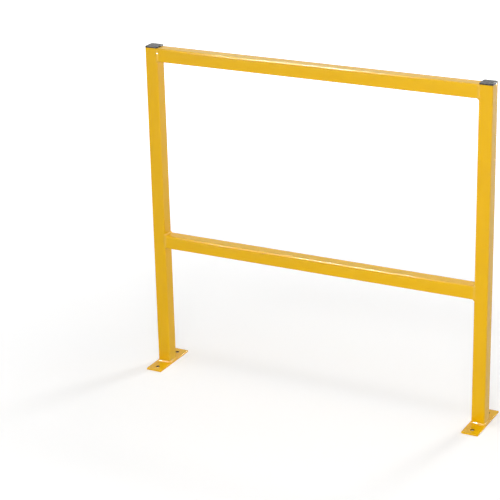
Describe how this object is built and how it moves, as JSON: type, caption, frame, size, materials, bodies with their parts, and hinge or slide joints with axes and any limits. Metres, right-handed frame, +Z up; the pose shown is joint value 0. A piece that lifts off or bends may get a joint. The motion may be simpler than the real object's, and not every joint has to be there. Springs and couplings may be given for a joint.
{
  "type": "tubular perimeter guard",
  "caption": "Free-standing welded guard frame of square steel tube with a top rail, a lower rail and drilled base plates for bolting to the floor.",
  "frame": {"origin": "on the floor, midway between the posts and on the tubes' centre plane", "axes": "+X along the guard towards the right post, +Y from the front to the back, +Z up"},
  "size_m": [1.075, 0.17, 1],
  "materials": {
    "yellow_powder_coat": "gloss powder coat with a slight orange peel",
    "coated_weld": "gloss powder coat over rippled weld beads",
    "black_cap_plastic": "moulded, satin"
  },
  "bodies": {
    "root": {"left_post": "yellow_powder_coat", "right_post": "yellow_powder_coat", "top_rail": "yellow_powder_coat", "mid_rail": "yellow_powder_coat", "left_base_plate": "yellow_powder_coat", "right_base_plate": "yellow_powder_coat", "left_cap": "black_cap_plastic", "right_cap": "black_cap_plastic", "left_top_weld": "coated_weld", "right_top_weld": "coated_weld", "left_mid_weld": "coated_weld", "right_mid_weld": "coated_weld", "left_foot_weld": "coated_weld", "right_foot_weld": "coated_weld"}
  },
  "joints": []
}
